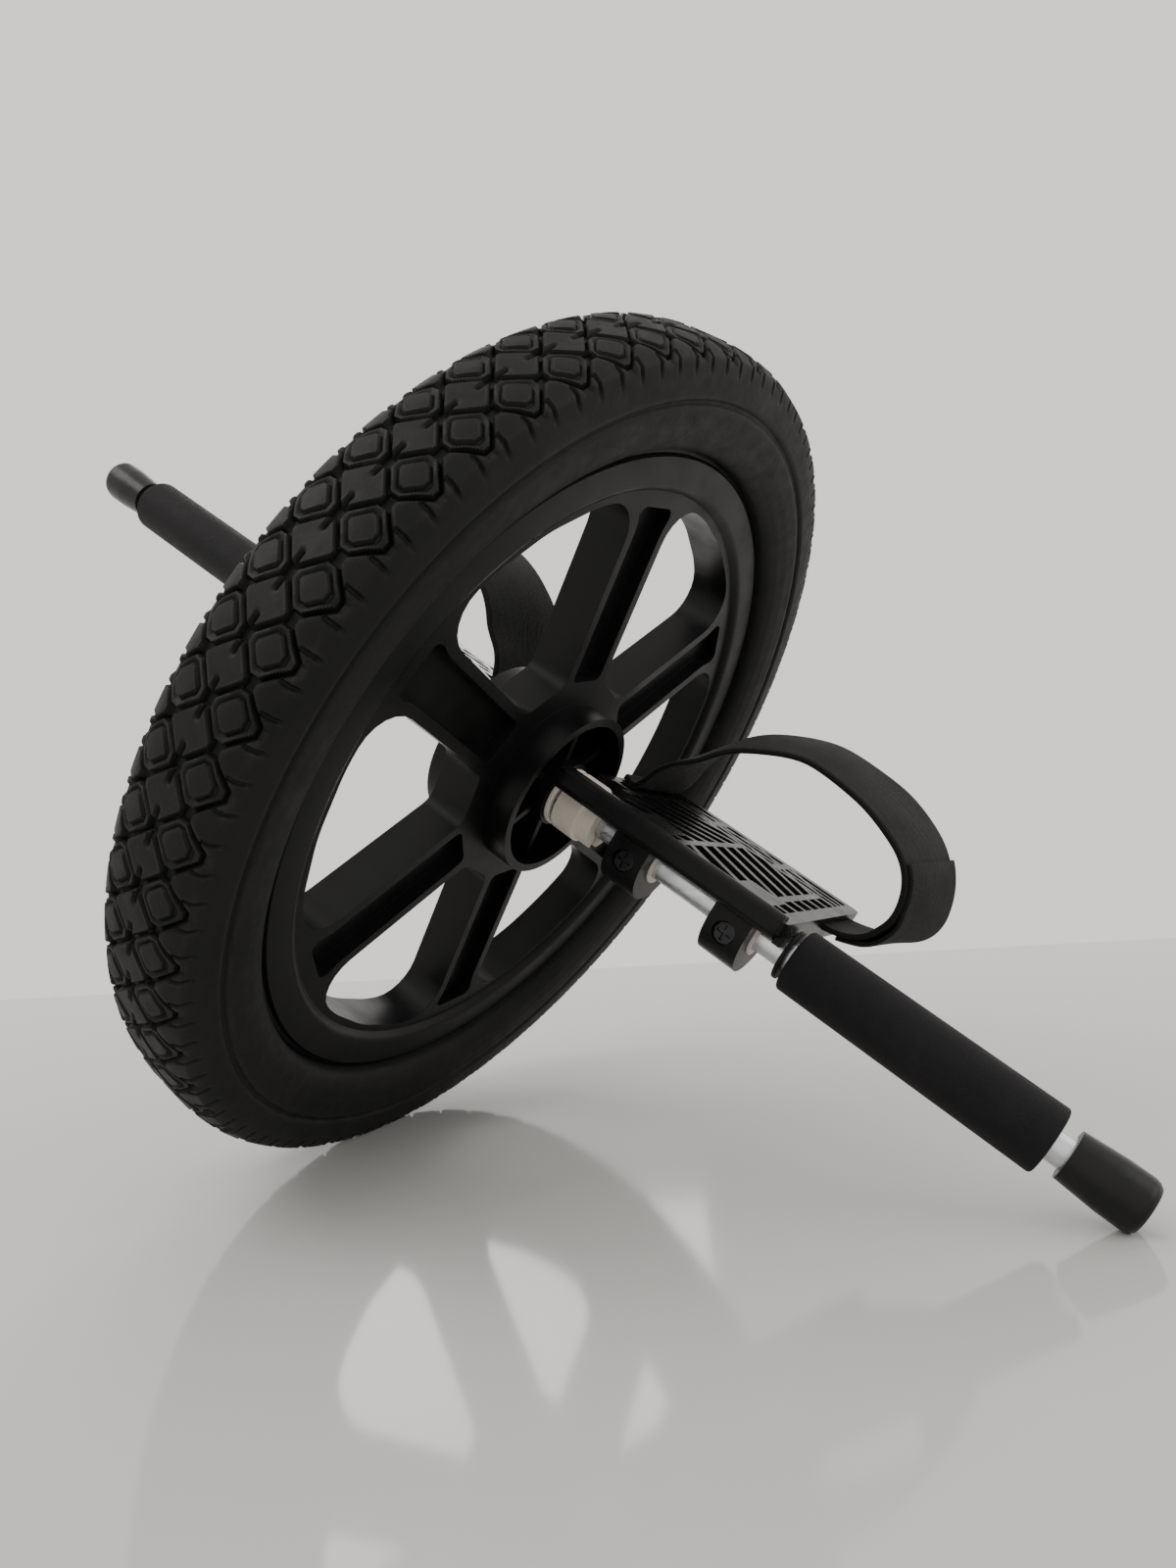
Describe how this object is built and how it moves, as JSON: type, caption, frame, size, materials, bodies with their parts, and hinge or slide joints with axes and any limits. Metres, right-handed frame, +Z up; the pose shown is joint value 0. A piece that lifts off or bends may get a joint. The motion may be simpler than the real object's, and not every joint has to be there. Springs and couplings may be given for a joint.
{
  "type": "exercise wheel",
  "caption": "Core exercise wheel: large knobbly tyre on a six-spoke rim, steel cross tube with foam grips, and a strapped foot pedal on each side.",
  "frame": {"origin": "point of the floor straight below the wheel's centre, with the wheel leaning on its tyre edge and on the right end cap", "axes": "+X forward, the way the pedals reach; +Y to the left, the way the tube points seen from above; +Z up"},
  "size_m": [0.356, 0.471, 0.3245],
  "materials": {
    "steel": "bright zinc plated",
    "nylon": "satin off-white nylon",
    "black_plastic": "satin black moulded plastic",
    "foam": "matt closed-cell foam",
    "vinyl": "semi-gloss dipped vinyl",
    "tyre": "matt rubber",
    "webbing": "woven webbing"
  },
  "bodies": {
    "axle": {"axle_tube": "steel", "thrust_washers": "steel", "collar_right": "nylon", "collar_left": "nylon", "collar_pins": "steel", "stop_washers": "black_plastic", "foam_grip_right": "foam", "foam_grip_left": "foam", "end_cap_right": "vinyl", "end_cap_left": "vinyl"},
    "bush_sleeve": {"hub_bush_right": "nylon", "hub_bush_left": "nylon"},
    "wheel": {"tyre": "tyre", "wheel_rim": "black_plastic"},
    "pedal_right_body": {"pedal_right": "black_plastic", "ear_bushes_right": "nylon", "ear_screws_right": "steel", "foot_strap_right": "webbing", "strap_tail_right": "webbing"},
    "pedal_left_body": {"pedal_left": "black_plastic", "ear_bushes_left": "nylon", "ear_screws_left": "steel", "foot_strap_left": "webbing", "strap_tail_left": "webbing"}
  },
  "joints": [
    {"name": "wheel_slide", "type": "slide", "parent": "axle", "child": "bush_sleeve", "axis": [0, 0.8299, 0.5579], "range_m": [0, 0.026]},
    {"name": "wheel_spin", "type": "hinge", "parent": "bush_sleeve", "child": "wheel", "pos_m": [0, 0, 0.16215], "axis": [0, 0.8299, 0.5579], "continuous": true},
    {"name": "pedal_right_tilt", "type": "hinge", "parent": "axle", "child": "pedal_right_body", "pos_m": [0, -0.08299, 0.10636], "axis": [0, 0.8299, 0.5579], "continuous": true},
    {"name": "pedal_left_tilt", "type": "hinge", "parent": "axle", "child": "pedal_left_body", "pos_m": [0, 0.08299, 0.21793], "axis": [0, 0.8299, 0.5579], "continuous": true}
  ]
}
